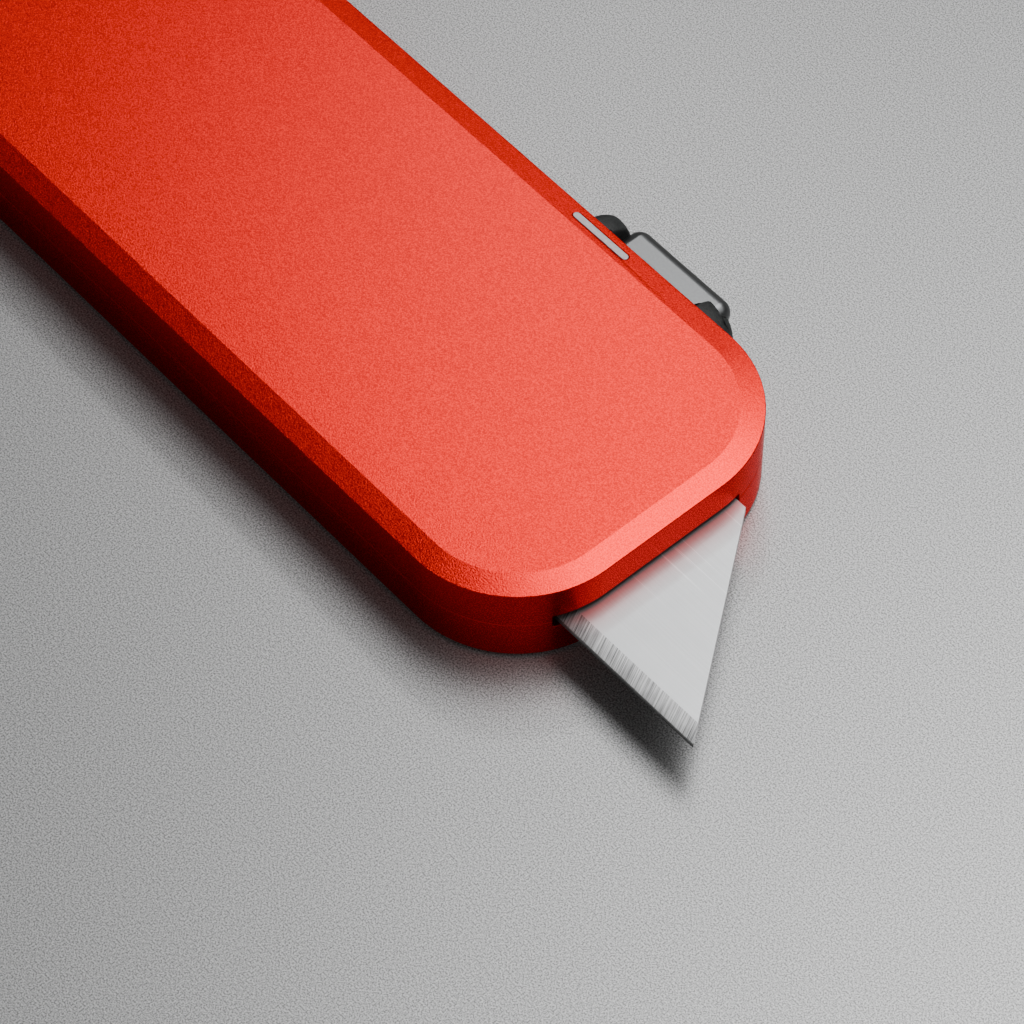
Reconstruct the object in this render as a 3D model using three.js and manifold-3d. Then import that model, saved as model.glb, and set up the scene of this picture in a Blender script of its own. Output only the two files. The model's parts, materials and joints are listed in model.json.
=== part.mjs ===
// A slim sliding utility knife: two anodised aluminium shells hold a trapezoid blade on a carrier,
// moved by a side slider that a sprung brake holds until its button is pressed.
// Millimetres. The origin is the centre of the underside, +X points to the blade's tip,
// +Y to the slider's side and +Z up, out of the marked face.
import * as THREE from "three";
import { mergeVertices } from "three/addons/utils/BufferGeometryUtils.js";
import Module from "manifold-3d";

const wasm = await Module();
wasm.setup();

// ---------- Driving dimensions ----------

const BODY = { length: 120, width: 34.6, thickness: 8.8, corner: 10.9, wall: 2.4, floor: 1.8 };
const BEVEL = { width: 2.1, drop: 0.36 };
const BLADE = { length: 61, height: 19, thickness: 0.6, run: 14.35, reach: 15.3, edgeY: -10.8 };
const GRIND = { width: 1.75, edge: 0.12 };
const NOTCH = { spacing: 9.5, radius: 1.4, depth: 2.8 };
const TRAVEL = 17; // the slider's, from blade out to blade in
const PRESS = 0.9; // the button's, into the body
const CLEAR = 0.15; // running clearance between pieces that slide
const FIT = 0.05; // gap round a piece that is pressed or bonded in
const PAST = 1; // how far a cutting tool runs past the face that it cuts

const FRONT = BODY.length / 2;
const SIDE = BODY.width / 2;
const MID = BODY.thickness / 2;
const INNER = { low: BODY.floor, high: BODY.thickness - BODY.floor };

// Places along the knife, measured from its front face, with the blade out.
const along = (distance) => FRONT + distance;

const BLADE_BOTTOM = MID - BLADE.thickness / 2;
const BLADE_TOP = MID + BLADE.thickness / 2;
const SPINE_Y = BLADE.edgeY + BLADE.height;
const BLADE_REAR = along(BLADE.reach - BLADE.length);
const SPINE_MIDDLE = along(BLADE.reach - BLADE.length / 2);
const NOTCH_PLACES = [-1, 1].map((side) => SPINE_MIDDLE + (side * NOTCH.spacing) / 2);
const NOTCH_BOTTOM_Y = SPINE_Y - NOTCH.depth + NOTCH.radius; // the centre of a notch's round bottom

const MOUTH = { low: BLADE.edgeY - 0.35, high: SPINE_Y + 0.35, half: 0.72 };
const CHANNEL = { low: -11.9, high: 9, front: along(-BODY.wall), rear: along(-67.4) };
const BAY = { front: along(-9), rear: along(-49.6), high: SIDE - BODY.wall };
const RAIL_GROOVE = { front: along(-9.8), floor: 1.1 };
const REAR_POCKET = { front: along(-71), rear: 14 - FRONT, half: 12, corner: 3 };

const CARRIER = { front: along(-2.9), rear: along(-46.2), low: 2.3, high: 4, edge: -11.6, inner: 8.8 };
const EAR = { depth: 3.1, front: [along(-12.7), along(-9.6)], rear: [along(-32), along(-28.9)] };
const EAR_ROOM = { front: [EAR.front[0] - CLEAR, FRONT], rear: [0, EAR.rear[1] + CLEAR] };
const MAGNET = { radius: 2.5, depth: 1.05, places: [along(-26), along(-38)], y: -1.5 };

const BUTTON = { front: along(-14.5), rear: along(-26.6), out: 4.2, half: 1.35, round: 1.3 };
const HUMP = { out: 3.4, half: 2.45, gap: 0.25 };
const BED = { thickness: 0.5, half: 2.35, overlap: 0.5 };
const FRONT_HUMP = { middle: along(-16.25), reach: 4.5 };
const REAR_HUMP = { middle: along(-28.3), reach: 1.75, slope: 4 };
const BRIDGE = { front: along(-9.4), rear: along(-32.2), low: 2.45, high: 6.7, back: 9.3, face: 14.6 };
const NECK = {
  half: 1.4,
  overlap: 0.3,
  front: [along(-14.2), along(-12.4)],
  rear: [along(-29.7), along(-26.9)],
};
const SLOT = { half: 1.6, front: along(-12.1), rear: along(-30 - TRAVEL) };
const FLANGE = { front: along(-13.1), rear: along(-28.1), low: 12.3, high: 13.45 };
const CAVITY = { low: 10.5, high: FLANGE.high + CLEAR, margin: 0.2 };
const SPRING = { radius: 1, wire: 0.3, turns: 2.5, places: [along(-16.5), along(-24.6)] };

const RAIL = { front: along(-14), rear: along(-44), face: 13.3, back: 14.8, low: 1.2, high: 2.35 };
const SHOE = { middle: along(-20.55), half: 2, corner: 0.4, back: 12.1, low: 1.4, high: 2.85 };
const RAIL_PIN = { radius: 0.45, low: 0.6, y: 14.1, places: [along(-15.8), along(-42.2)] };

const GUIDE = { low: 4.95, high: 6.9, front: along(-3), rear: along(-63), edge: -11.6, inner: 8.6 };
const WEAR_PLATE = { low: 1.9, high: 2.2 };
const BUMPER = { front: along(-63.4), rear: along(-67), low: -8, high: 5, bottom: 2, top: 6.8 };

const SCREW = { radius: 0.85, head: 1.7, cone: 0.9, low: 0.05, high: 6.3, socket: 0.75, socketDepth: 0.7 };
const SCREW_PLACES = {
  front_left: [along(-9.5), -13.4],
  front_right: [along(-6.4), 11.4],
  rear_left: [10.5 - FRONT, -13],
  rear_right: [10.5 - FRONT, 13],
};
const DOWEL = { radius: 1, low: 2.3, high: 6.5 };
const DOWEL_PLACES = { front: [along(-22), -14.4], rear: [20 - FRONT, 14.4] };
const CARRIER_SCREW_PLACES = [EAR.front, EAR.rear].map(([x0, x1]) => (x0 + x1) / 2);
const CARRIER_SCREW = { radius: 0.7, head: 1.35, headDepth: 0.8, low: 2.5, top: 6.6, y: 10.5 };

const INLAY = { front: along(-22.6), rear: along(-29.3), width: 0.68, fromEdge: 1.1, depth: 0.6 };

const CURVE_SEGMENTS = 12;
const ROUND_SIDES = 24;
const SOCKET_SIDES = 6;
const COIL_STEPS = 14; // steps in one turn of a spring

// ---------- Solids ----------

// A closed three.js geometry as a solid that can be joined and cut.
function solidOf(geometry) {
  const bare = geometry.clone();
  bare.deleteAttribute("normal");
  bare.deleteAttribute("uv");
  const merged = mergeVertices(bare, 1e-4);
  return new wasm.Manifold(
    new wasm.Mesh({
      numProp: 3,
      vertProperties: merged.attributes.position.array,
      triVerts: new Uint32Array(merged.index.array),
    }),
  );
}

function geometryOf(solid) {
  const mesh = solid.getMesh();
  const geometry = new THREE.BufferGeometry();
  geometry.setAttribute("position", new THREE.BufferAttribute(mesh.vertProperties, 3));
  geometry.setIndex(new THREE.BufferAttribute(mesh.triVerts, 1));
  geometry.computeVertexNormals();
  return geometry;
}

function block(x0, x1, y0, y1, z0, z1) {
  const geometry = new THREE.BoxGeometry(x1 - x0, y1 - y0, z1 - z0);
  return solidOf(geometry.translate((x0 + x1) / 2, (y0 + y1) / 2, (z0 + z1) / 2));
}

// A shape in the XY plane, drawn up from z0 to z1.
function prism(shape, z0, z1) {
  const options = { depth: z1 - z0, bevelEnabled: false, curveSegments: CURVE_SEGMENTS };
  return solidOf(new THREE.ExtrudeGeometry(shape, options).translate(0, 0, z0));
}

// A shape drawn in a YZ section, run from x0 to x1.
function bar(section, x0, x1) {
  const options = { depth: x1 - x0, bevelEnabled: false, curveSegments: CURVE_SEGMENTS };
  const geometry = new THREE.ExtrudeGeometry(section, options);
  const sectionToWorld = new THREE.Matrix4().makeBasis(
    new THREE.Vector3(0, 1, 0),
    new THREE.Vector3(0, 0, 1),
    new THREE.Vector3(1, 0, 0),
  );
  return solidOf(geometry.applyMatrix4(sectionToWorld).translate(x0, 0, 0));
}

// A straight or tapering round along Z.
function round(x, y, z0, z1, lowRadius, highRadius = lowRadius, sides = ROUND_SIDES) {
  const geometry = new THREE.CylinderGeometry(highRadius, lowRadius, z1 - z0, sides);
  return solidOf(geometry.rotateX(Math.PI / 2).translate(x, y, (z0 + z1) / 2));
}

function ellipsoid(x, y, z, rx, ry, rz) {
  const geometry = new THREE.SphereGeometry(1, 2 * ROUND_SIDES, ROUND_SIDES);
  return solidOf(geometry.scale(rx, ry, rz).translate(x, y, z));
}

function roundedRectangle(x0, x1, y0, y1, radius) {
  const shape = new THREE.Shape();
  shape.absarc(x1 - radius, y1 - radius, radius, 0, Math.PI / 2);
  shape.absarc(x0 + radius, y1 - radius, radius, Math.PI / 2, Math.PI);
  shape.absarc(x0 + radius, y0 + radius, radius, Math.PI, 1.5 * Math.PI);
  shape.absarc(x1 - radius, y0 + radius, radius, 1.5 * Math.PI, 2 * Math.PI);
  return shape;
}

const joined = (solids) => solids.reduce((whole, next) => whole.add(next));
const cut = (solid, tools) => tools.reduce((left, tool) => left.subtract(tool), solid);

// ---------- Shells ----------

// The whole body's outer form: a rounded slab with a shallow bevel round both faces.
function bodySlab() {
  const outline = roundedRectangle(-FRONT, FRONT, -SIDE, SIDE, BODY.corner);
  const geometry = new THREE.ExtrudeGeometry(outline, {
    depth: BODY.thickness - 2 * BEVEL.drop,
    curveSegments: CURVE_SEGMENTS,
    bevelThickness: BEVEL.drop,
    bevelSize: BEVEL.width,
    bevelOffset: -BEVEL.width,
    bevelSegments: 1,
  });
  return solidOf(geometry.translate(0, 0, BEVEL.drop));
}

// Everything that is hollow between the two shells.
function hollows() {
  const { low, high } = INNER;
  const { rear, front, half, corner } = REAR_POCKET;
  const pocketPlan = roundedRectangle(rear, front, -half, half, corner);
  return [
    block(CHANNEL.rear, CHANNEL.front, CHANNEL.low, CHANNEL.high, low, high),
    block(BAY.rear, BAY.front, CHANNEL.high - PAST, BAY.high, low, high),
    block(BAY.rear, RAIL_GROOVE.front, SHOE.back - PRESS - CLEAR, BAY.high, RAIL_GROOVE.floor, MID),
    prism(pocketPlan, low, high),
    block(CHANNEL.front - PAST, FRONT + PAST, MOUTH.low, MOUTH.high, MID - MOUTH.half, MID + MOUTH.half),
    block(SLOT.rear, SLOT.front, BAY.high - PAST, SIDE + PAST, MID - SLOT.half, MID + SLOT.half),
    ...Object.values(DOWEL_PLACES).map(([x, y]) =>
      round(x, y, DOWEL.low - FIT, DOWEL.high + FIT, DOWEL.radius + FIT),
    ),
  ];
}

function inlayPlan(margin) {
  const y = SIDE - INLAY.fromEdge;
  const half = INLAY.width / 2 + margin;
  return roundedRectangle(INLAY.rear - margin, INLAY.front + margin, y - half, y + half, half);
}

function upperShell() {
  const shell = bodySlab().intersect(
    block(-2 * FRONT, 2 * FRONT, -2 * SIDE, 2 * SIDE, MID, 2 * BODY.thickness),
  );
  const screwHoles = Object.values(SCREW_PLACES).map(([x, y]) =>
    round(x, y, MID - PAST, SCREW.high + CLEAR, SCREW.radius + FIT),
  );
  const inlaySeat = prism(inlayPlan(FIT), BODY.thickness - INLAY.depth - FIT, 2 * BODY.thickness);
  return cut(shell, [...hollows(), ...screwHoles, inlaySeat]);
}

function lowerShell() {
  const shell = bodySlab().intersect(
    block(-2 * FRONT, 2 * FRONT, -2 * SIDE, 2 * SIDE, -BODY.thickness, MID),
  );
  const screwHoles = Object.values(SCREW_PLACES).flatMap(([x, y]) => [
    round(x, y, -PAST, MID + PAST, SCREW.radius + CLEAR),
    round(x, y, 0, SCREW.cone + CLEAR, SCREW.head + CLEAR, SCREW.radius + CLEAR),
  ]);
  const pinHoles = RAIL_PIN.places.map((x) =>
    round(x, RAIL_PIN.y, RAIL_PIN.low - FIT, RAIL_GROOVE.floor + PAST, RAIL_PIN.radius + FIT),
  );
  return cut(shell, [...hollows(), ...screwHoles, ...pinHoles]);
}

function indicatorInlay() {
  return prism(inlayPlan(0), BODY.thickness - INLAY.depth, 2 * BODY.thickness).intersect(bodySlab());
}

// ---------- Blade and carrier ----------

// The flat blank: a trapezoid whose long side is the cutting edge, with two notches in its spine.
function bladeOutline() {
  const shape = new THREE.Shape();
  shape.moveTo(BLADE_REAR, BLADE.edgeY);
  shape.lineTo(BLADE_REAR + BLADE.length, BLADE.edgeY);
  shape.lineTo(BLADE_REAR + BLADE.length - BLADE.run, SPINE_Y);
  for (const x of [...NOTCH_PLACES].reverse()) {
    shape.lineTo(x + NOTCH.radius, SPINE_Y);
    shape.absarc(x, NOTCH_BOTTOM_Y, NOTCH.radius, 0, -Math.PI, true);
    shape.lineTo(x - NOTCH.radius, SPINE_Y);
  }
  shape.lineTo(BLADE_REAR + BLADE.run, SPINE_Y);
  shape.closePath();
  return shape;
}

// The blade's cross-section in YZ, ground down on both sides towards the cutting edge.
function bladeSection() {
  const section = new THREE.Shape();
  const flat = BLADE.edgeY + GRIND.width;
  section.moveTo(BLADE.edgeY, MID - GRIND.edge / 2);
  section.lineTo(flat, BLADE_BOTTOM);
  section.lineTo(SPINE_Y + PAST, BLADE_BOTTOM);
  section.lineTo(SPINE_Y + PAST, BLADE_TOP);
  section.lineTo(flat, BLADE_TOP);
  section.lineTo(BLADE.edgeY, MID + GRIND.edge / 2);
  section.closePath();
  return section;
}

function blade() {
  const ground = bar(bladeSection(), BLADE_REAR - PAST, BLADE_REAR + BLADE.length + PAST);
  return prism(bladeOutline(), 0, BODY.thickness).intersect(ground);
}

function bladeCarrier() {
  const { front, rear, low, high, edge, inner } = CARRIER;
  const plate = block(rear, front, edge, inner, low, high);
  const ears = [EAR.front, EAR.rear].map(([x0, x1]) =>
    block(x0, x1, inner - PAST, inner + EAR.depth, low, high),
  );
  const lugs = NOTCH_PLACES.map((x) =>
    round(x, NOTCH_BOTTOM_Y, (low + high) / 2, BLADE_TOP - FIT, NOTCH.radius - CLEAR),
  );
  const magnetSeats = MAGNET.places.map((x) =>
    round(x, MAGNET.y, high - MAGNET.depth - FIT, high + PAST, MAGNET.radius + FIT),
  );
  const threads = CARRIER_SCREW_PLACES.map((x) =>
    round(x, CARRIER_SCREW.y, low - PAST, high + PAST, CARRIER_SCREW.radius + FIT),
  );
  return cut(joined([plate, ...ears, ...lugs]), [...magnetSeats, ...threads]);
}

function carrierMagnet(x) {
  return round(x, MAGNET.y, CARRIER.high - MAGNET.depth, CARRIER.high - FIT, MAGNET.radius);
}

function carrierScrew(x) {
  const { y, radius, head, headDepth, low, top } = CARRIER_SCREW;
  const shank = round(x, y, low, top - headDepth + FIT, radius);
  const cap = round(x, y, top - headDepth, top, head);
  const socket = round(x, y, top - headDepth / 2, top + PAST, radius, radius, SOCKET_SIDES);
  return cut(shank.add(cap), [socket]);
}

// ---------- Slider ----------

// A thumb hump: the part of an ellipsoid that stands out of the side wall, between two X limits.
function hump(middle, reach, x0, x1) {
  const dome = ellipsoid(middle, SIDE, MID, reach, HUMP.out, HUMP.half);
  return dome.intersect(block(x0, x1, SIDE + HUMP.gap, SIDE + 2 * HUMP.out, 0, BODY.thickness));
}

function sliderBase() {
  const outer = SIDE + HUMP.gap;
  const windowHalf = BUTTON.half + CLEAR;
  const humps = [
    hump(FRONT_HUMP.middle, FRONT_HUMP.reach, FRONT_HUMP.middle, FRONT),
    hump(REAR_HUMP.middle, REAR_HUMP.reach, 0, REAR_HUMP.middle),
    hump(REAR_HUMP.middle, REAR_HUMP.slope, REAR_HUMP.middle, BUTTON.rear - CLEAR),
  ];
  const bed = block(
    REAR_HUMP.middle - BED.overlap,
    FRONT_HUMP.middle + BED.overlap,
    outer,
    outer + BED.thickness,
    MID - BED.half,
    MID + BED.half,
  );
  const necks = [NECK.front, NECK.rear].map(([x0, x1]) =>
    block(x0, x1, BRIDGE.face - PAST, outer + NECK.overlap, MID - NECK.half, MID + NECK.half),
  );
  const bridge = block(BRIDGE.rear, BRIDGE.front, BRIDGE.back, BRIDGE.face, BRIDGE.low, BRIDGE.high);
  const earRooms = [EAR_ROOM.front, EAR_ROOM.rear].map(([x0, x1]) =>
    block(x0, x1, 0, CARRIER.inner + EAR.depth + CLEAR, 0, CARRIER.high + CLEAR),
  );
  const buttonWindow = block(
    BUTTON.rear - CLEAR,
    BUTTON.front + CLEAR,
    CAVITY.low,
    SIDE + BODY.width,
    MID - windowHalf,
    MID + windowHalf,
  );
  const cavity = block(
    FLANGE.rear - CAVITY.margin,
    FLANGE.front + CAVITY.margin,
    CAVITY.low,
    CAVITY.high,
    MID - windowHalf,
    MID + windowHalf,
  );
  const shoeWindow = block(
    SHOE.middle - SHOE.half - 2 * CLEAR,
    SHOE.middle + SHOE.half + 2 * CLEAR,
    SHOE.back - PRESS - CLEAR,
    BRIDGE.face + PAST,
    0,
    MID,
  );
  const { y, radius, head, top, headDepth } = CARRIER_SCREW;
  const screwRooms = CARRIER_SCREW_PLACES.flatMap((x) => [
    round(x, y, 0, BODY.thickness, radius + CLEAR),
    round(x, y, top - headDepth - FIT, BODY.thickness, head + FIT),
  ]);
  return cut(joined([...humps, bed, ...necks, bridge]), [
    ...earRooms,
    buttonWindow,
    cavity,
    shoeWindow,
    ...screwRooms,
  ]);
}

// The button's plan, rounded at its two outer corners, is crossed with its rounded YZ section.
function sliderButton() {
  const { front, rear, out, half, round: radius } = BUTTON;
  const outer = SIDE + out;
  const inner = FLANGE.low;
  const hidden = inner - 2 * radius; // the inner corners' rounding lies past the cut at inner
  const plan = roundedRectangle(rear, front, hidden, outer, radius);
  const section = roundedRectangle(hidden, outer, MID - half, MID + half, radius);
  const stem = prism(plan, 0, BODY.thickness)
    .intersect(bar(section, rear, front))
    .intersect(block(rear - PAST, front + PAST, inner, outer + PAST, 0, BODY.thickness));
  const flange = block(
    FLANGE.rear,
    FLANGE.front,
    inner,
    FLANGE.high,
    MID - half,
    MID + half,
  );
  return stem.add(flange);
}

// The steel shoe hangs under the button's flange. The springs hold its face to the rail.
function brakeShoe() {
  const { middle, half, back, corner, low, high } = SHOE;
  const plan = roundedRectangle(middle - half, middle + half, back, RAIL.face - FIT, corner);
  return prism(plan, low, high);
}

class Helix extends THREE.Curve {
  constructor(radius, turns, length) {
    super();
    Object.assign(this, { radius, turns, length });
  }

  getPoint(t, target = new THREE.Vector3()) {
    const angle = 2 * Math.PI * this.turns * t;
    return target.set(this.radius * Math.cos(angle), this.length * t, this.radius * Math.sin(angle));
  }
}

function buttonSpring(x) {
  const wire = new THREE.Shape().absarc(0, 0, SPRING.wire / 2, 0, 2 * Math.PI);
  const start = CAVITY.low + SPRING.wire;
  const length = FLANGE.low - SPRING.wire - start;
  const geometry = new THREE.ExtrudeGeometry(wire, {
    steps: SPRING.turns * COIL_STEPS,
    curveSegments: 4,
    extrudePath: new Helix(SPRING.radius, SPRING.turns, length),
  });
  return solidOf(geometry.translate(x, start, MID));
}

// ---------- Brake rail, guides and stop ----------

function brakeRail() {
  const strip = block(RAIL.rear, RAIL.front, RAIL.face, RAIL.back, RAIL.low, RAIL.high);
  const pinHoles = RAIL_PIN.places.map((x) => round(x, RAIL_PIN.y, 0, MID, RAIL_PIN.radius + FIT));
  return cut(strip, pinHoles);
}

const railPin = (x) => round(x, RAIL_PIN.y, RAIL_PIN.low, RAIL.high - FIT, RAIL_PIN.radius);

const upperGuide = () => block(GUIDE.rear, GUIDE.front, GUIDE.edge, GUIDE.inner, GUIDE.low, GUIDE.high);

const lowerWearPlate = () =>
  block(GUIDE.rear, GUIDE.front, GUIDE.edge, GUIDE.inner, WEAR_PLATE.low, WEAR_PLATE.high);

const rearBumper = () =>
  block(BUMPER.rear, BUMPER.front, BUMPER.low, BUMPER.high, BUMPER.bottom, BUMPER.top);

// ---------- Fasteners ----------

function bodyScrew(x, y) {
  const { radius, head, cone, low, high, socket, socketDepth } = SCREW;
  const shank = round(x, y, low, high, radius);
  const countersunk = round(x, y, low, low + cone, head, radius);
  const recess = round(x, y, low - PAST, low + socketDepth, socket, socket, SOCKET_SIDES);
  return cut(shank.add(countersunk), [recess]);
}

const dowelPin = (x, y) => round(x, y, DOWEL.low, DOWEL.high, DOWEL.radius);

// ---------- Materials and assembly ----------

const finish = (color, roughness, metalness) => ({ color, roughness, metalness });
const RED_ANODISED = finish(0xd8463a, 0.45, 0.7);
const BLADE_STEEL = finish(0xc4c6c8, 0.3, 1);
const PLAIN_STEEL = finish(0x9a9ca0, 0.4, 1);
const SATIN_METAL = finish(0xb9bbbe, 0.3, 1);
const INLAY_METAL = finish(0xb7a9ab, 0.5, 0.6);
const BLACK_POLYMER = finish(0x1d1e1e, 0.65, 0);
const NATURAL_ACETAL = finish(0x2c2d2f, 0.5, 0);
const BUMPER_RUBBER = finish(0x151515, 0.9, 0);
const MAGNET_PLATE = finish(0xa8a9ab, 0.25, 1);

const knife = new THREE.Group();

function place(name, solid, look) {
  const mesh = new THREE.Mesh(geometryOf(solid), new THREE.MeshStandardMaterial(look));
  mesh.name = name;
  knife.add(mesh);
}

place("upper_shell", upperShell(), RED_ANODISED);
place("lower_shell", lowerShell(), RED_ANODISED);
place("indicator_inlay", indicatorInlay(), INLAY_METAL);
place("blade", blade(), BLADE_STEEL);
place("blade_carrier", bladeCarrier(), PLAIN_STEEL);
place("slider_base", sliderBase(), BLACK_POLYMER);
place("slider_button", sliderButton(), SATIN_METAL);
place("brake_shoe", brakeShoe(), PLAIN_STEEL);
place("brake_rail", brakeRail(), PLAIN_STEEL);
place("upper_guide", upperGuide(), NATURAL_ACETAL);
place("lower_wear_plate", lowerWearPlate(), PLAIN_STEEL);
place("rear_bumper", rearBumper(), BUMPER_RUBBER);

["front", "rear"].forEach((end, i) => {
  place(`carrier_magnet_${end}`, carrierMagnet(MAGNET.places[i]), MAGNET_PLATE);
  place(`carrier_screw_${end}`, carrierScrew(CARRIER_SCREW_PLACES[i]), PLAIN_STEEL);
  place(`button_spring_${end}`, buttonSpring(SPRING.places[i]), PLAIN_STEEL);
  place(`rail_pin_${end}`, railPin(RAIL_PIN.places[i]), PLAIN_STEEL);
});
for (const [corner, [x, y]] of Object.entries(SCREW_PLACES)) {
  place(`body_screw_${corner}`, bodyScrew(x, y), PLAIN_STEEL);
}
for (const [end, [x, y]] of Object.entries(DOWEL_PLACES)) {
  place(`dowel_pin_${end}`, dowelPin(x, y), PLAIN_STEEL);
}

export default knife;
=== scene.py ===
"""The utility knife's looks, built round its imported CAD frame."""
import json
import math

import bmesh
import bpy
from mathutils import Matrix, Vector


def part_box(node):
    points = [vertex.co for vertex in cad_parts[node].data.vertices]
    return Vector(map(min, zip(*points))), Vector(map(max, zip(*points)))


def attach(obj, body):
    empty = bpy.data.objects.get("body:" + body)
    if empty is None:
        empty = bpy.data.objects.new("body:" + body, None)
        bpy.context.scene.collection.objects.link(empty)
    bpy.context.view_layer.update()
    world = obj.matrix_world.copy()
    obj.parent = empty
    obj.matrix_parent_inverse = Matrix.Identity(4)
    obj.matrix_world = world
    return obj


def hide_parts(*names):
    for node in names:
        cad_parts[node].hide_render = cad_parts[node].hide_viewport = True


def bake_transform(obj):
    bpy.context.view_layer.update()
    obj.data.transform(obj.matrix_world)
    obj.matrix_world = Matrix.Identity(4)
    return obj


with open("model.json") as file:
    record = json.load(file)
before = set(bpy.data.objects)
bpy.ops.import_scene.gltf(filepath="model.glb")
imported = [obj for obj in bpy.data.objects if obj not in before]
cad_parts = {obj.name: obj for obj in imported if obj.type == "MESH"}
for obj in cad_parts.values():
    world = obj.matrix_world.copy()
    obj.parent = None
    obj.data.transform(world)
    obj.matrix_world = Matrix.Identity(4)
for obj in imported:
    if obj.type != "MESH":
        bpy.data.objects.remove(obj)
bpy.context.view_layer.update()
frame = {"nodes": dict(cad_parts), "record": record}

# ---------- Sizes, in millimetres unless a comment says otherwise ----------

MM = 0.001  # metres
WELD = 1e-6  # metres: vertices nearer than this are one
NEAR = 0.01  # points nearer than this to a plane lie on it

EDGE = 0.07  # rounding of a machined shell's edges
FINE_EDGE = 0.03
MOULDED_EDGE = 0.16
SHARP_ANGLE = math.radians(30)  # edges that turn more than this are rounded
FLAT_ANGLE = math.radians(0.5)  # faces that turn less than this are one face
BEVEL_TURNS = (6, 14)  # degrees: the crease between a shell's face and its bevel turns this much
WALL_TILT = 0.3  # a face whose normal's Z is less than this is a side wall

GRIND_WIDTH = 1.75  # how far up from the cutting edge the ground band ends
HONE_WIDTH = 0.22
HONE_HALF = 0.07  # half the blade's thickness where the honed edge starts
TIP_HALF = 0.015  # the same at the cutting edge itself
BLADE_EDGE = 0.02  # rounding of the blade's corners
BLADE_CORNER = math.radians(60)  # its corners turn more than this
BLADE_SHARP = 1.0  # an edge that starts nearer than this to the cutting edge isn't rounded
GRIND_TURNS = (3, 30)  # degrees: the creases beside the ground band turn this much
NOTCH_DEPTH = 4  # the notches reach less than this in from the spine
NOTCH_STEPS = 16  # straight pieces round a notch's bottom
FLAT, GROUND, HONED = 0, 1, 2  # the blade's materials, in order

BUTTON_ROUND = 1.3
BUTTON_GRID = 8  # mesh squares in half of a rounded edge's quarter turn
FLANGE_ROUND = 0.15
FLANGE_GRID = 3
STEM_CLEAR = 0.1  # points further back than this from the stem are on its flange
CENTRE_LINE = 1e-6  # a cube's vertex nearer than this to a middle plane is on it

CAMERA_AZIMUTH = 48.79  # degrees; 0 looks along +Y
CAMERA_ELEVATION = 54.23  # degrees above the floor
CAMERA_DISTANCE = 400.1
CAMERA_LENS = 169.1
CAMERA_SENSOR = 36
CAMERA_CLIP = (10, 20000)
AIM_BEHIND_FRONT = 13.7  # the point looked at, behind the body's front face
AIM_Y = -4.5
AIM_Z = 0.36

FLOOR_HALF = 2500

FRONT_END = (46, -4, 0)  # on the floor under the body's front end
LIGHTS = {  # each light's place, aim, width and height, and power in watts
    "key": ((16, 234, 548), FRONT_END, (330, 300), 1.85),
    "surround": ((140, 285, 515), FRONT_END, (900, 440), 2.2),
    "fill": ((550, -700, 550), (0, 0, 0), (1000, 1000), 1.0),
    "sun": ((-254, 266, 444), FRONT_END, (40, 40), 0.17),
}
WORLD_STRENGTH = 0.075

# ---------- Grain ----------

MOST = (0.3, 0.7)  # most of a noise's values lie in this range
STRONG = (0.35, 0.65)  # a narrower range, for more contrast

SCRATCH_SCALE = 1000
SCRATCH_RANGE = (0.45, 0.85)
CLOUD_SCALE = 400
CLOUD_SHARE = 0.3
LONG_STRETCH = (0.03, 5, 5)
LONG_RANGE = (0.68, 0.73)  # few of the noise's values lie here or above, so the long marks are few

MIX_FACTOR, MIX_A, MIX_B, MIX_COLOUR = 0, 6, 7, 2  # the Mix node's sockets for colours

# ---------- The frame's places ----------


def box_mm(node):
    """A CAD node's lowest and highest corners, in millimetres."""
    low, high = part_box(node)
    return low / MM, high / MM


def points_mm(node):
    """A CAD node's vertices, in millimetres."""
    return [v.co / MM for v in frame["nodes"][node].data.vertices]


SHELL_HIGH = box_mm("upper_shell")[1]

# ---------- Meshes ----------


def new_object(name, bm):
    """An object of that name from a bmesh in metres, with smooth faces."""
    mesh = bpy.data.meshes.new(name)
    bm.normal_update()
    bm.to_mesh(mesh)
    bm.free()
    for polygon in mesh.polygons:
        polygon.use_smooth = True
    obj = bpy.data.objects.new(name, mesh)
    bpy.context.scene.collection.objects.link(obj)
    return obj


def weigh_normals(obj):
    """Keeps large faces flat and lets the narrow rounding between them turn."""
    modifier = obj.modifiers.new("weighted normals", "WEIGHTED_NORMAL")
    modifier.mode = "FACE_AREA"
    modifier.weight = 100
    modifier.keep_sharp = True


def steep_edges(bm, angle=SHARP_ANGLE):
    """The edges that turn more than the angle."""
    return [e for e in bm.edges if e.is_manifold and e.calc_face_angle() > angle]


def round_edges(bm, edges, width, segments=2):
    """Rounds the edges by a width in millimetres."""
    bmesh.ops.bevel(
        bm, geom=edges, offset=width * MM, offset_type="OFFSET", segments=segments,
        profile=0.5, affect="EDGES", clamp_overlap=False,
    )


def keep_crisp(bm, low, high):
    """Keeps the edges crisp that turn between the two angles, in degrees."""
    for edge in bm.edges:
        if edge.is_manifold and math.radians(low) < edge.calc_face_angle() < math.radians(high):
            edge.smooth = False


def refined(node, width, crisp=None):
    """A CAD node's own shape as a finished mesh: flat faces made whole and edges rounded."""
    bm = bmesh.new()
    bm.from_mesh(frame["nodes"][node].data)
    for edge in bm.edges:
        edge.smooth = True
    bmesh.ops.remove_doubles(bm, verts=bm.verts, dist=WELD)
    bmesh.ops.dissolve_limit(bm, angle_limit=FLAT_ANGLE, verts=bm.verts, edges=bm.edges)
    if crisp:
        keep_crisp(bm, *crisp)
    round_edges(bm, steep_edges(bm), width)
    obj = new_object(node + "_fine", bm)
    weigh_normals(obj)
    return obj


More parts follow.
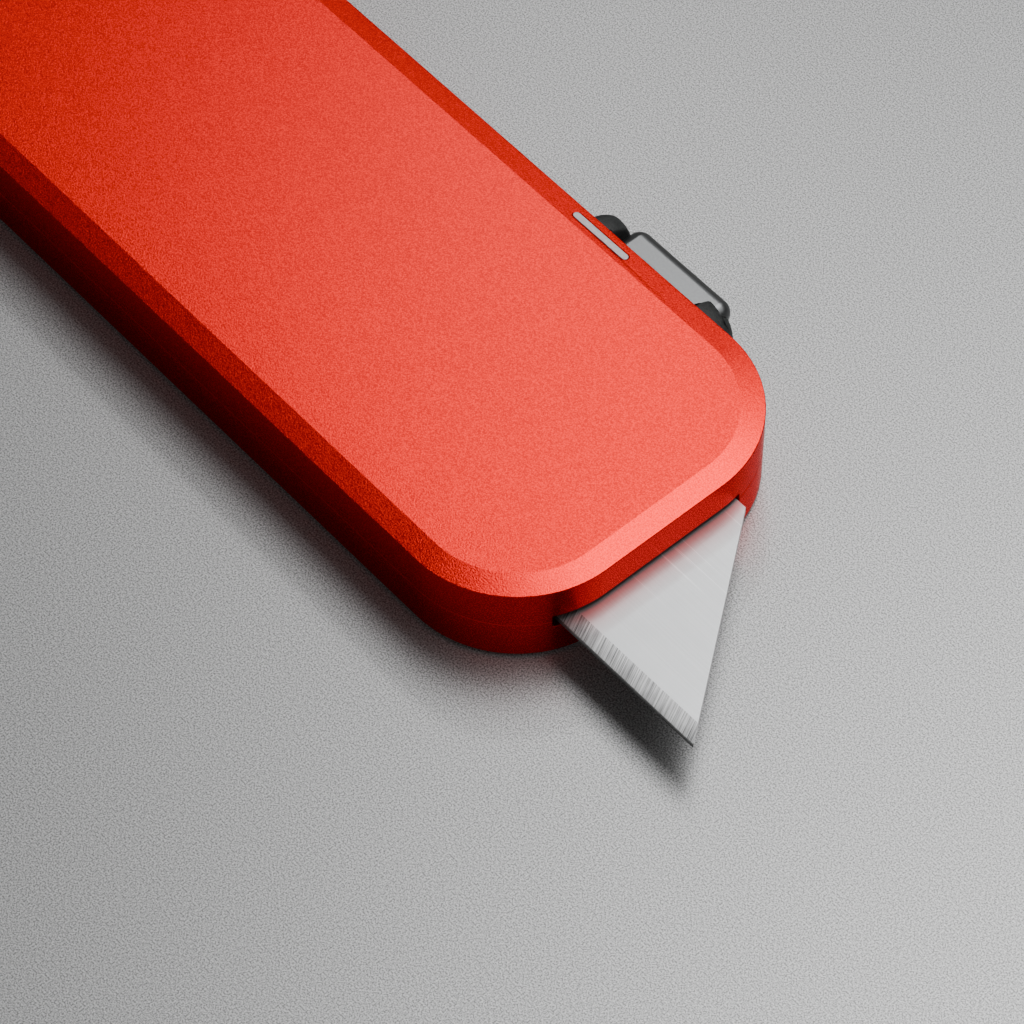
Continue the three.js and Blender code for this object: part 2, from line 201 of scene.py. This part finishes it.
def apply_modifiers(obj):
    """Makes the object's evaluated mesh its own."""
    depsgraph = bpy.context.evaluated_depsgraph_get()
    mesh = bpy.data.meshes.new_from_object(obj.evaluated_get(depsgraph))
    obj.modifiers.clear()
    obj.data = mesh


# ---------- The blade ----------


def blade_mesh():
    """The trapezoid blade: flat, ground down to the cutting edge, and honed at the very edge."""
    low, high = box_mm("blade")
    middle, half = (low.z + high.z) / 2, (high.z - low.z) / 2
    # Each station is a distance from the cutting edge and the blade's half thickness there.
    stations = [(0, TIP_HALF), (HONE_WIDTH, HONE_HALF), (GRIND_WIDTH, half), (high.y - low.y, half)]
    last = len(stations) - 1
    bm = bmesh.new()
    rows = blade_rows(bm, low, high, middle, stations)
    notches = {side: notch_row(bm, high.y, middle + side * half) for side in (1, -1)}
    for side in (1, -1):
        add_blade_side(bm, rows, notches[side], side, last)
    add_spine(bm, rows, notches, last)
    for end, turn in (("front", 1), ("rear", -1)):
        add_blade_end(bm, rows, end, turn, last)
    edge = [rows[1, 0, "rear"], rows[-1, 0, "rear"], rows[-1, 0, "front"], rows[1, 0, "front"]]
    bm.faces.new(edge).material_index = HONED
    bmesh.ops.recalc_face_normals(bm, faces=bm.faces)
    keep_crisp(bm, *GRIND_TURNS)
    start = (low.y + BLADE_SHARP) * MM
    corners = [e for e in steep_edges(bm, BLADE_CORNER) if e.verts[0].co.y > start]
    round_edges(bm, corners, BLADE_EDGE, segments=1)
    obj = new_object("blade_fine", bm)
    weigh_normals(obj)
    return obj


def blade_rows(bm, low, high, middle, stations):
    """The blade's corners, by side, station and end. Both ends slant inward up to the spine."""
    spine_front = max(p.x for p in points_mm("blade") if p.y > high.y - NEAR)
    slope = (high.x - spine_front) / (high.y - low.y)
    rows = {}
    for side in (1, -1):
        for index, (rise, thick) in enumerate(stations):
            for end, x in (("rear", low.x + slope * rise), ("front", high.x - slope * rise)):
                point = Vector((x, low.y + rise, middle + side * thick))
                rows[side, index, end] = bm.verts.new(point * MM)
    return rows


def notch_row(bm, spine_y, z):
    """The spine's two round-bottomed notches at one face of the blade, from front to rear."""
    top = box_mm("blade")[1].z
    face = [p for p in points_mm("blade") if abs(p.z - top) < NEAR]
    bottom = min(p.y for p in face if p.y > spine_y - NOTCH_DEPTH)
    along_spine = sorted({round(p.x, 2) for p in face if abs(p.y - spine_y) < NEAR})
    row = []
    for rear, front in (along_spine[3:5], along_spine[1:3]):
        radius = (front - rear) / 2
        centre = Vector(((rear + front) / 2, bottom + radius))
        row.append(bm.verts.new(Vector((front, spine_y, z)) * MM))
        for step in range(NOTCH_STEPS + 1):
            angle = math.pi * step / NOTCH_STEPS
            offset = Vector((math.cos(angle), -math.sin(angle))) * radius
            row.append(bm.verts.new(Vector((*(centre + offset), z)) * MM))
        row.append(bm.verts.new(Vector((rear, spine_y, z)) * MM))
    return row


def add_blade_side(bm, rows, notches, side, last):
    """One side of the blade: its honed and ground bands, and its flat up to the notched spine."""
    for index in range(last - 1):
        quad = [rows[side, index, "rear"], rows[side, index, "front"]]
        quad += [rows[side, index + 1, "front"], rows[side, index + 1, "rear"]]
        face = bm.faces.new(quad[::side])
        face.material_index = HONED if index == 0 else GROUND
    flat = [rows[side, last - 1, "rear"], rows[side, last - 1, "front"], rows[side, last, "front"]]
    flat += notches + [rows[side, last, "rear"]]
    bm.faces.new(flat[::side]).material_index = FLAT


def add_spine(bm, rows, notches, last):
    """The faces along the spine and round its notches."""
    top = [rows[1, last, "front"]] + notches[1] + [rows[1, last, "rear"]]
    bottom = [rows[-1, last, "front"]] + notches[-1] + [rows[-1, last, "rear"]]
    for i in range(len(top) - 1):
        bm.faces.new([top[i], bottom[i], bottom[i + 1], top[i + 1]])


def add_blade_end(bm, rows, end, turn, last):
    """The faces down one slanted end."""
    for index in range(last):
        quad = [rows[1, index, end], rows[-1, index, end]]
        quad += [rows[-1, index + 1, end], rows[1, index + 1, end]]
        bm.faces.new(quad[::turn])


# ---------- The button ----------


def rounded_block(low, high, radius, grid):
    """A block whose edges and corners are all rounded, from a cube whose squares spread on a sphere."""
    bm = bmesh.new()
    bmesh.ops.create_cube(bm, size=2)
    bmesh.ops.subdivide_edges(bm, edges=bm.edges, cuts=2 * grid - 1, use_grid_fill=True)
    middle, core = (low + high) / 2, (high - low) / 2 - Vector((radius,) * 3)
    for vert in bm.verts:
        # Even angles give squares of even size along the rounding.
        normal = Vector(math.tan(c * math.pi / 4) for c in vert.co).normalized()
        corner = Vector(core_part(c, half) for c, half in zip(vert.co, core))
        vert.co = (middle + corner + normal * radius) * MM
    return bm


def core_part(place, half):
    """How far a cube's vertex goes out along one axis before its rounding is added."""
    return 0 if abs(place) < CENTRE_LINE else math.copysign(half, place)


def button_mesh():
    """The button: a rounded stem that stands out of the wall, and its flange inside."""
    low, high = box_mm("slider_button")
    points = points_mm("slider_button")
    outside = [p.x for p in points if p.y > SHELL_HIGH.y]
    flange_top = max(p.y for p in points if p.x < min(outside) - STEM_CLEAR)
    stem_low = Vector((min(outside), low.y, low.z))
    stem_high = Vector((max(outside), high.y, high.z))
    flange_high = Vector((high.x, flange_top, high.z))
    block = rounded_block(stem_low, stem_high, BUTTON_ROUND, BUTTON_GRID)
    stem = new_object("slider_button_fine", block)
    flange = new_object("flange", rounded_block(low, flange_high, FLANGE_ROUND, FLANGE_GRID))
    union = stem.modifiers.new("flange", "BOOLEAN")
    union.operation = "UNION"
    union.solver = "EXACT"
    union.object = flange
    apply_modifiers(stem)
    bpy.data.objects.remove(flange)
    weigh_normals(stem)
    return stem


# ---------- Materials ----------


class Nodes:
    """A material's node tree, with short ways to add and link nodes."""

    def __init__(self, name):
        self.material = bpy.data.materials.new(name)
        self.material.use_nodes = True
        self.tree = self.material.node_tree
        self.shader = self.tree.nodes["Principled BSDF"]
        self.place = self.add("ShaderNodeTexCoord").outputs["Object"]

    def add(self, kind, inputs=None, **settings):
        """A new node with these settings and inputs."""
        node = self.tree.nodes.new(kind)
        for key, value in settings.items():
            setattr(node, key, value)
        for key, value in (inputs or {}).items():
            self.set(node, key, value)
        return node

    def set(self, node, key, value):
        """Links an output to the node's input, or gives the input a plain value."""
        if isinstance(value, bpy.types.NodeSocket):
            self.tree.links.new(value, node.inputs[key])
        else:
            node.inputs[key].default_value = value

    def surface(self, **values):
        """Sets the shader's inputs; an underscore stands for a space."""
        for key, value in values.items():
            self.set(self.shader, key.replace("_", " "), value)

    def noise(self, scale, detail=2.0, roughness=0.5, stretch=(1, 1, 1)):
        """Noise whose grain is about 1/scale metres, drawn out along the axes with a small stretch."""
        mapping = self.add("ShaderNodeMapping", {"Vector": self.place, "Scale": stretch})
        inputs = {"Vector": mapping.outputs[0], "Scale": scale, "Detail": detail, "Roughness": roughness}
        return self.add("ShaderNodeTexNoise", inputs).outputs["Fac"]

    def spread(self, value, old, new):
        """A value in the old range, turned into one in the new range."""
        inputs = {"Value": value, "From Min": old[0], "From Max": old[1], "To Min": new[0], "To Max": new[1]}
        return self.add("ShaderNodeMapRange", inputs).outputs[0]

    def around(self, grain, middle, swing):
        """A number that follows the grain, up to the swing on each side of the middle."""
        return self.spread(grain, MOST, (middle - swing, middle + swing))

    def maths(self, operation, a, b):
        """The result of an operation on two values."""
        return self.add("ShaderNodeMath", {0: a, 1: b}, operation=operation).outputs[0]

    def colours(self, factor, dark, light):
        """A colour that goes from dark to light with the factor."""
        inputs = {MIX_FACTOR: factor, MIX_A: (*dark, 1), MIX_B: (*light, 1)}
        return self.add("ShaderNodeMix", inputs, data_type="RGBA").outputs[MIX_COLOUR]

    def mottled(self, grain, dark, light, contrast=MOST):
        """A colour that follows the grain, from dark to light."""
        return self.colours(self.spread(grain, contrast, (0, 1)), dark, light)

    def bump(self, height, distance):
        """A bump of the height's grain; distance is in metres."""
        return self.add("ShaderNodeBump", {"Height": height, "Distance": distance}).outputs[0]


def red_anodised(name, roughness, bump, coat):
    """Bead-blasted aluminium dyed red, under its clear oxide skin."""
    n = Nodes(name)
    grain = n.noise(8000, detail=1)
    n.surface(
        Base_Color=n.mottled(grain, (0.52, 0.004, 0.003), (0.9, 0.013, 0.008)),
        Metallic=1.0,
        Roughness=n.around(grain, roughness, 0.04),
        Normal=n.bump(grain, bump),
        Specular_Tint=(0.7, 0.03, 0.02, 1.0),
        Coat_Weight=coat,
        Coat_Roughness=0.25,
        Coat_IOR=1.5,
    )
    return n.material


def plain_metal(name, dark, light, roughness, scale, stretch=(1, 1, 1), bump=0.000002):
    """Metal with a machined or brushed grain."""
    n = Nodes(name)
    grain = n.noise(scale, detail=4, roughness=0.6, stretch=stretch)
    n.surface(
        Base_Color=n.mottled(grain, dark, light),
        Metallic=1.0,
        Roughness=n.around(grain, roughness, 0.015),
        Normal=n.bump(grain, bump),
    )
    return n.material


def scratched_metal(name, dark, light, roughness, scratch, turn, bump, depth=1.0, marks=0.0):
    """Metal with fine scratches: scratch stretches the grain, and turn swings it round Z, in degrees.

    depth is how far the scratches reach from dark to light, and marks is the same for a few long
    bright ones.
    """
    n = Nodes(name)
    turned = n.add("ShaderNodeMapping", {"Vector": n.place, "Rotation": (0, 0, math.radians(turn))})
    n.place = turned.outputs[0]
    lines = n.noise(SCRATCH_SCALE, detail=5, roughness=0.7, stretch=scratch)
    clouds = n.maths("MULTIPLY", n.noise(CLOUD_SCALE, detail=2), CLOUD_SHARE)
    fine = n.spread(n.maths("ADD", lines, clouds), SCRATCH_RANGE, (0, depth))
    long = n.spread(n.noise(SCRATCH_SCALE, detail=1, stretch=LONG_STRETCH), LONG_RANGE, (0, marks))
    n.surface(
        Base_Color=n.colours(n.maths("ADD", fine, long), dark, light),
        Metallic=0.9,
        Roughness=roughness,
        Normal=n.bump(lines, bump),
    )
    return n.material


def blade_flat():
    """Steel strip with faint scratches along the blade."""
    dark, light = (0.39, 0.395, 0.4), (0.66, 0.665, 0.67)
    along = (0.02, 7, 7)
    return scratched_metal("blade_flat", dark, light, 0.34, along, 0, 0.0000006, depth=0.2, marks=0.6)


def blade_ground():
    """The ground band, with slanting grinding lines across it."""
    dark, light = (0.04, 0.04, 0.042), (0.6, 0.6, 0.6)
    across = (10, 0.12, 0.12)
    return scratched_metal("blade_ground", dark, light, 0.4, across, -24, 0.000002)


def blade_honed():
    """The narrow honed edge."""
    dark, light = (0.1, 0.1, 0.1), (0.2, 0.2, 0.2)
    return scratched_metal("blade_honed", dark, light, 0.3, (8, 1, 1), 0, 0.000002)


def inlay_metal():
    """The inlay's pale matt metal."""
    return plain_metal("inlay_metal", (0.46, 0.4, 0.41), (0.6, 0.54, 0.55), 0.42, 3000)


def plain_steel():
    """The inner parts' steel, brushed along the knife."""
    dark, light = (0.3, 0.31, 0.32), (0.46, 0.47, 0.48)
    return plain_metal("plain_steel", dark, light, 0.35, 1500, stretch=(0.1, 1, 1))


def magnet_plate():
    """The magnets' bright plating."""
    return plain_metal("magnet_plate", (0.5, 0.5, 0.5), (0.62, 0.62, 0.63), 0.2, 800)


def satin_metal():
    """The button's satin metal, which is almost smooth."""
    dark, light = (0.165, 0.168, 0.17), (0.19, 0.193, 0.195)
    return plain_metal("satin_metal", dark, light, 0.36, 4000, bump=0.0000001)


def screw_steel():
    """The body screws' dark steel."""
    return plain_metal("screw_steel", (0.12, 0.12, 0.125), (0.22, 0.22, 0.23), 0.35, 1500)


def moulded(name, dark, light, roughness, scale=5000, bump=0.00002):
    """Plastic or rubber with a fine spark-eroded texture."""
    n = Nodes(name)
    grain = n.noise(scale, detail=3, roughness=0.6)
    n.surface(
        Base_Color=n.mottled(grain, dark, light, STRONG),
        Roughness=n.around(grain, roughness, 0.06),
        Normal=n.bump(grain, bump),
    )
    return n.material


def black_polymer():
    """The slider's black polymer."""
    dark, light = (0.002, 0.0023, 0.0023), (0.026, 0.029, 0.028)
    return moulded("black_polymer", dark, light, 0.6, scale=6000)


def guide_plastic():
    """The blade guide's smoother black plastic."""
    dark, light = (0.02, 0.02, 0.022), (0.04, 0.04, 0.044)
    return moulded("guide_plastic", dark, light, 0.45, scale=2000, bump=0.00001)


def bumper_rubber():
    """The rear stop's matt rubber."""
    return moulded("bumper_rubber", (0.006, 0.006, 0.006), (0.02, 0.02, 0.02), 0.85)


def floor_material():
    """A grey surface with a fine grain and a slight gloss."""
    n = Nodes("floor")
    grain = n.noise(7000, detail=2)
    n.surface(
        Base_Color=n.mottled(grain, (0.16, 0.16, 0.16), (0.56, 0.56, 0.56), STRONG),
        Metallic=0.4,
        Roughness=0.36,
        Normal=n.bump(grain, 0.000004),
    )
    return n.material


# ---------- Pieces ----------

BODIES = frame["record"]["behaviour"]["bodies"]
BODY_OF = {node: body for body, nodes in BODIES.items() for node in nodes}
SLOT_OF = {part["node"]: part["material_slot"] for part in frame["record"]["subparts"]}
SHELLS = ("upper_shell", "lower_shell")

SLOT_MATERIALS = {
    "red_anodised": red_anodised("red_anodised", roughness=0.34, bump=0.00002, coat=0.1),
    "inlay_metal": inlay_metal(),
    "plain_steel": plain_steel(),
    "magnet_plate": magnet_plate(),
    "black_polymer": black_polymer(),
    "satin_metal": satin_metal(),
    "guide_plastic": guide_plastic(),
    "bumper_rubber": bumper_rubber(),
    "screw_steel": screw_steel(),
}


def squeeze_spring(obj):
    """A button spring keeps its place baked into its mesh and is put on no body."""
    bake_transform(obj)


def finish_piece(obj, node, body, slot, *materials):
    """Puts a piece in its node's place, with its materials, on its body."""
    for material in materials:
        obj.data.materials.append(material)
    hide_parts(node)
    if node.startswith("button_spring"):
        squeeze_spring(obj)
    else:
        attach(obj, body)


def edge_width(node):
    """How far a piece's edges are rounded."""
    return MOULDED_EDGE if node == "slider_base" else FINE_EDGE


def paint_walls(piece):
    """Gives a shell's side walls its second material."""
    for polygon in piece.data.polygons:
        polygon.material_index = int(abs(polygon.normal.z) < WALL_TILT)


def build_pieces():
    """Builds a finished piece for every CAD node."""
    side_wall = red_anodised("red_anodised_wall", roughness=0.26, bump=0.000005, coat=0.12)
    for node, body in BODY_OF.items():
        slot = SLOT_OF[node]
        if node == "blade":
            finish_piece(blade_mesh(), node, body, slot, blade_flat(), blade_ground(), blade_honed())
        elif node == "slider_button":
            finish_piece(button_mesh(), node, body, slot, SLOT_MATERIALS[slot])
        elif node in SHELLS:
            piece = refined(node, EDGE, crisp=BEVEL_TURNS)
            finish_piece(piece, node, body, slot, SLOT_MATERIALS[slot], side_wall)
            paint_walls(piece)
        else:
            piece = refined(node, edge_width(node))
            finish_piece(piece, node, body, slot, SLOT_MATERIALS[slot])


# ---------- Stage ----------


def camera_direction():
    """The direction of the camera, seen from the object."""
    a, e = math.radians(CAMERA_AZIMUTH), math.radians(CAMERA_ELEVATION)
    return Vector((math.sin(a) * math.cos(e), -math.cos(a) * math.cos(e), math.sin(e)))


def face_along(obj, direction):
    """Turns a camera or a light to face in a direction."""
    obj.rotation_euler = direction.to_track_quat("-Z", "Y").to_euler()


def add_camera():
    """The scene's camera, which looks at the knife's front end from above."""
    data = bpy.data.cameras.new("camera")
    data.lens = CAMERA_LENS
    data.sensor_width = CAMERA_SENSOR
    data.clip_start, data.clip_end = (clip * MM for clip in CAMERA_CLIP)
    camera = bpy.data.objects.new("camera", data)
    back = camera_direction()
    aim = Vector((SHELL_HIGH.x - AIM_BEHIND_FRONT, AIM_Y, AIM_Z))
    camera.location = (aim + back * CAMERA_DISTANCE) * MM
    face_along(camera, -back)
    bpy.context.scene.collection.objects.link(camera)
    bpy.context.scene.camera = camera


def add_floor():
    """A wide flat floor under the knife."""
    bm = bmesh.new()
    bmesh.ops.create_grid(bm, x_segments=1, y_segments=1, size=FLOOR_HALF * MM)
    floor = new_object("floor", bm)
    floor.data.materials.append(floor_material())


def add_light(name, place, aim, size, power):
    """A soft rectangular light at a place in millimetres, turned to its aim."""
    data = bpy.data.lights.new(name, "AREA")
    data.shape = "RECTANGLE"
    data.size, data.size_y = size[0] * MM, size[1] * MM
    data.energy = power
    light = bpy.data.objects.new(name, data)
    light.location = Vector(place) * MM
    face_along(light, Vector(aim) - Vector(place))
    bpy.context.scene.collection.objects.link(light)


def add_world():
    """A faint even light from all round."""
    world = bpy.data.worlds.new("world")
    world.use_nodes = True
    background = world.node_tree.nodes["Background"]
    background.inputs["Color"].default_value = (1, 1, 1, 1)
    background.inputs["Strength"].default_value = WORLD_STRENGTH
    bpy.context.scene.world = world


def add_lights():
    """All of the scene's lights."""
    for name, (place, aim, size, power) in LIGHTS.items():
        add_light(name, place, aim, size, power)
    add_world()


add_camera()
build_pieces()
add_floor()
add_lights()
bpy.context.scene.view_settings.view_transform = "AgX"
